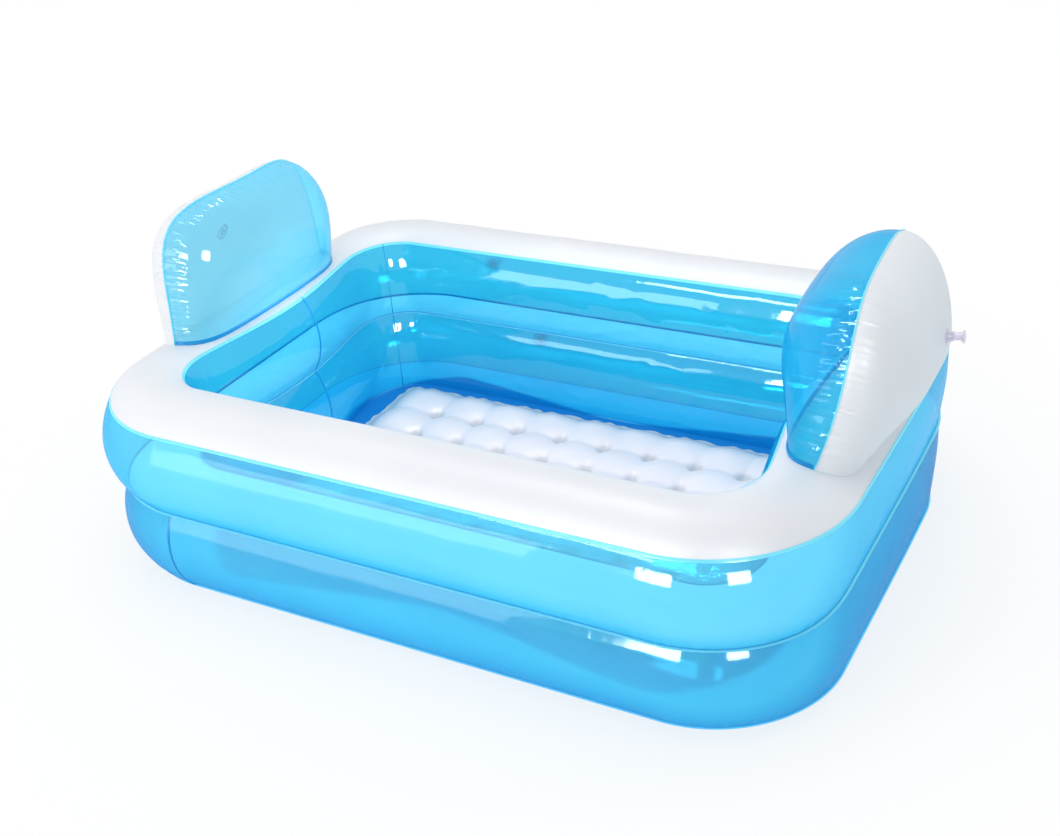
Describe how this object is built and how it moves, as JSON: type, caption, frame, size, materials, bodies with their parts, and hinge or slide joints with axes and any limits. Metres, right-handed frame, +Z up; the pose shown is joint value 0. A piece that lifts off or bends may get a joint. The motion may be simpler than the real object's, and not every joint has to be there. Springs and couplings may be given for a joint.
{
  "type": "inflatable paddling pool",
  "caption": "rectangular inflatable pool with stacked air rings, a broad rim, an inflated mat floor and a D-shaped backrest on each end",
  "frame": {"origin": "on the ground at the middle of the pool's footprint", "axes": "+X along the pool towards the right-hand backrest, +Y across the pool towards the side with the ring valves, +Z up"},
  "size_m": [1.6279, 1.1312, 0.6453],
  "materials": {
    "blue_film": "glossy see-through blue vinyl film",
    "pale_film": "glossy see-through pale blue vinyl film",
    "white_film": "soft-gloss white vinyl film",
    "mat_film": "soft-gloss cool white vinyl film",
    "soft_vinyl": "soft frosted clear vinyl",
    "firm_vinyl": "firm frosted clear vinyl"
  },
  "bodies": {
    "pool": {"bubble_mat": "mat_film", "ground_sheet": "blue_film", "left_backrest_back": "white_film", "left_backrest_front": "blue_film", "left_backrest_valve_skirt": "soft_vinyl", "lower_inner_wall_long": "blue_film", "lower_inner_wall_short": "blue_film", "lower_outer_wall": "blue_film", "lower_ring_valve_skirt": "soft_vinyl", "mat_valve_skirt": "soft_vinyl", "right_backrest_back": "white_film", "right_backrest_front": "blue_film", "right_backrest_valve_skirt": "soft_vinyl", "rim_top_sheet": "white_film", "ring_divider": "pale_film", "upper_inner_wall_long": "blue_film", "upper_inner_wall_short": "blue_film", "upper_outer_wall": "blue_film", "upper_ring_valve_skirt": "soft_vinyl"},
    "upper_ring_valve_stem": {"upper_ring_valve_stem": "firm_vinyl"},
    "upper_ring_valve_plug": {"upper_ring_valve_plug": "firm_vinyl"},
    "upper_ring_valve_flap": {"upper_ring_valve_flap": "soft_vinyl"},
    "lower_ring_valve_stem": {"lower_ring_valve_stem": "firm_vinyl"},
    "lower_ring_valve_plug": {"lower_ring_valve_plug": "firm_vinyl"},
    "lower_ring_valve_flap": {"lower_ring_valve_flap": "soft_vinyl"},
    "mat_valve_stem": {"mat_valve_stem": "firm_vinyl"},
    "mat_valve_plug": {"mat_valve_plug": "firm_vinyl"},
    "mat_valve_flap": {"mat_valve_flap": "soft_vinyl"},
    "left_backrest_valve_stem": {"left_backrest_valve_stem": "firm_vinyl"},
    "left_backrest_valve_plug": {"left_backrest_valve_plug": "firm_vinyl"},
    "left_backrest_valve_flap": {"left_backrest_valve_flap": "soft_vinyl"},
    "right_backrest_valve_stem": {"right_backrest_valve_stem": "firm_vinyl"},
    "right_backrest_valve_plug": {"right_backrest_valve_plug": "firm_vinyl"},
    "right_backrest_valve_flap": {"right_backrest_valve_flap": "soft_vinyl"}
  },
  "joints": [
    {"name": "upper_ring_valve_push", "type": "slide", "parent": "pool", "child": "upper_ring_valve_stem", "axis": [0, -1, 0], "range_m": [0, 0.022], "deforming": ["upper_ring_valve_skirt"]},
    {"name": "upper_ring_valve_plug_swing", "type": "hinge", "parent": "upper_ring_valve_stem", "child": "upper_ring_valve_plug", "pos_m": [-0.4, 0.57815, 0.2503], "axis": [-1, 0, 0], "range_deg": [0, 130]},
    {"name": "upper_ring_valve_flap_swing", "type": "hinge", "parent": "upper_ring_valve_stem", "child": "upper_ring_valve_flap", "pos_m": [-0.4, 0.54525, 0.2683], "axis": [-1, 0, 0], "range_deg": [0, 75]},
    {"name": "lower_ring_valve_push", "type": "slide", "parent": "pool", "child": "lower_ring_valve_stem", "axis": [0, -1, 0], "range_m": [0, 0.022], "deforming": ["lower_ring_valve_skirt"]},
    {"name": "lower_ring_valve_plug_swing", "type": "hinge", "parent": "lower_ring_valve_stem", "child": "lower_ring_valve_plug", "pos_m": [-0.28, 0.56898, 0.07457], "axis": [-1, 0, 0], "range_deg": [0, 130]},
    {"name": "lower_ring_valve_flap_swing", "type": "hinge", "parent": "lower_ring_valve_stem", "child": "lower_ring_valve_flap", "pos_m": [-0.28, 0.53608, 0.09257], "axis": [-1, 0, 0], "range_deg": [0, 75]},
    {"name": "mat_valve_push", "type": "slide", "parent": "pool", "child": "mat_valve_stem", "axis": [0, 0, -1], "range_m": [0, 0.01], "deforming": ["mat_valve_skirt"]},
    {"name": "mat_valve_plug_swing", "type": "hinge", "parent": "mat_valve_stem", "child": "mat_valve_plug", "pos_m": [-0.24229, -0.29101, 0.04451], "axis": [0, -1, 0], "range_deg": [0, 130]},
    {"name": "mat_valve_flap_swing", "type": "hinge", "parent": "mat_valve_stem", "child": "mat_valve_flap", "pos_m": [-0.22429, -0.29101, 0.02561], "axis": [0, -1, 0], "range_deg": [0, 60]},
    {"name": "left_backrest_valve_push", "type": "slide", "parent": "pool", "child": "left_backrest_valve_stem", "axis": [0.9584, 0.002, -0.2854], "range_m": [0, 0.022], "deforming": ["left_backrest_valve_skirt"]},
    {"name": "left_backrest_valve_plug_swing", "type": "hinge", "parent": "left_backrest_valve_stem", "child": "left_backrest_valve_plug", "pos_m": [-0.79812, 0.05338, 0.4932], "axis": [0.0021, -1, 0], "range_deg": [0, 130]},
    {"name": "left_backrest_valve_flap_swing", "type": "hinge", "parent": "left_backrest_valve_stem", "child": "left_backrest_valve_flap", "pos_m": [-0.76145, 0.05345, 0.50107], "axis": [0.0021, -1, 0], "range_deg": [0, 75]},
    {"name": "right_backrest_valve_push", "type": "slide", "parent": "pool", "child": "right_backrest_valve_stem", "axis": [-0.9888, -0.0468, -0.1414], "range_m": [0, 0.022], "deforming": ["right_backrest_valve_skirt"]},
    {"name": "right_backrest_valve_plug_swing", "type": "hinge", "parent": "right_backrest_valve_stem", "child": "right_backrest_valve_plug", "pos_m": [0.82281, 0.05476, 0.48893], "axis": [-0.0473, 0.9989, 0], "range_deg": [0, 130]},
    {"name": "right_backrest_valve_flap_swing", "type": "hinge", "parent": "right_backrest_valve_stem", "child": "right_backrest_valve_flap", "pos_m": [0.78774, 0.0531, 0.5021], "axis": [-0.0473, 0.9989, 0], "range_deg": [0, 75]}
  ]
}
